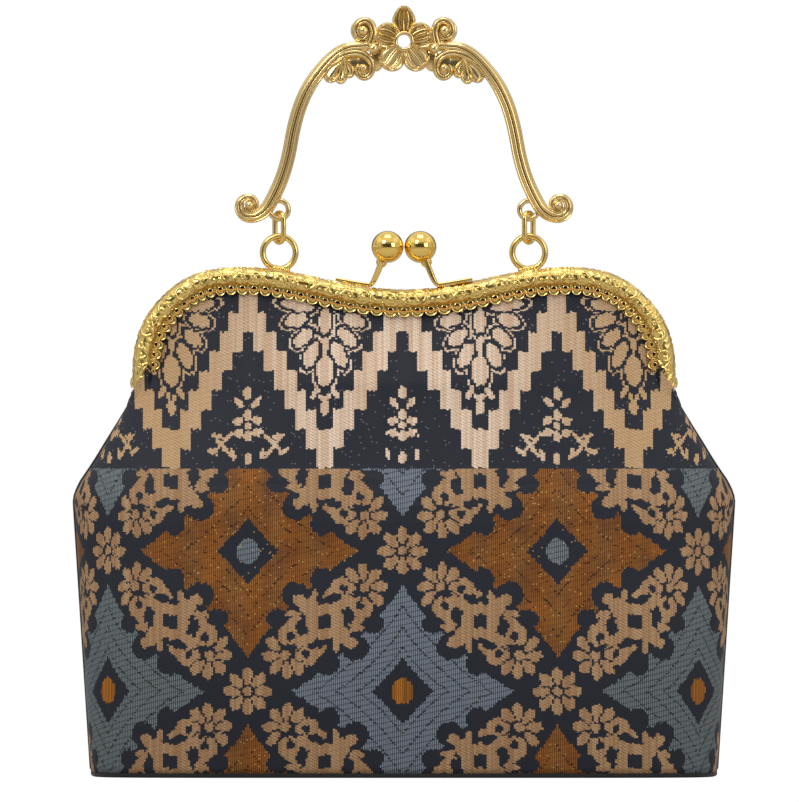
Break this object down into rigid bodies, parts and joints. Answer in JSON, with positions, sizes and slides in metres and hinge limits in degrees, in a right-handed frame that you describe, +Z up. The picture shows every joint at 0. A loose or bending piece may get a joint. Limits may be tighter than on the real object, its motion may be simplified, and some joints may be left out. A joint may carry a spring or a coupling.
{
  "type": "kiss lock handbag",
  "caption": "Small woven cloth handbag with a hinged gold-coloured frame, crossing ball clasp and an arched cast handle on links.",
  "frame": {"origin": "middle of the base, on the surface the bag stands on", "axes": "+Z up, the front faces -Y, +X to the right seen from the front"},
  "size_m": [0.249, 0.0796, 0.2928],
  "materials": {
    "gold_plate": "stamped and cast, gold-coloured plate, satin to bright",
    "polished_gold": "turned and polished, gold-coloured plate",
    "brocade": "woven brocade, navy ground with tan, ochre and slate figures",
    "lining_cloth": "plain dark lining",
    "base_cloth": "plain black cloth",
    "board": "pressed stiffening board"
  },
  "bodies": {
    "bag": {"front_panel": "brocade", "back_panel": "brocade", "base_panel": "base_cloth", "base_board": "board", "lining": "lining_cloth"},
    "front_frame": {"front_frame": "gold_plate", "front_panel_top": "brocade", "front_lining_top": "lining_cloth", "front_kiss_arm": "gold_plate", "front_kiss_ball": "polished_gold"},
    "back_frame": {"back_frame": "gold_plate", "back_panel_top": "brocade", "back_lining_top": "lining_cloth", "back_kiss_arm": "gold_plate", "back_kiss_ball": "polished_gold", "left_frame_ring": "gold_plate", "right_frame_ring": "gold_plate", "left_hinge_rivet": "gold_plate", "right_hinge_rivet": "gold_plate"},
    "left_link": {"left_link": "gold_plate"},
    "right_link": {"right_link": "gold_plate"},
    "handle": {"handle": "gold_plate"}
  },
  "joints": [
    {"name": "front_hinge", "type": "hinge", "parent": "bag", "child": "front_frame", "pos_m": [0, 0, 0.149], "axis": [1, 0, 0], "range_deg": [0, 40]},
    {"name": "back_hinge", "type": "hinge", "parent": "bag", "child": "back_frame", "pos_m": [0, 0, 0.149], "axis": [-1, 0, 0], "range_deg": [0, 40]},
    {"name": "left_link_swing", "type": "hinge", "parent": "back_frame", "child": "left_link", "pos_m": [-0.0475, 0.0027, 0.20486], "axis": [1, 0, 0], "range_deg": [-60, 60]},
    {"name": "right_link_swing", "type": "hinge", "parent": "back_frame", "child": "right_link", "pos_m": [0.0475, 0.0027, 0.20486], "axis": [1, 0, 0], "range_deg": [-60, 60]},
    {"name": "handle_swing", "type": "hinge", "parent": "left_link", "child": "handle", "pos_m": [-0.0475, 0.0027, 0.21136], "axis": [1, 0, 0], "range_deg": [-40, 40]}
  ],
  "couplings": [
    {"joint": "right_link_swing", "follows": "left_link_swing", "ratio": 1}
  ]
}
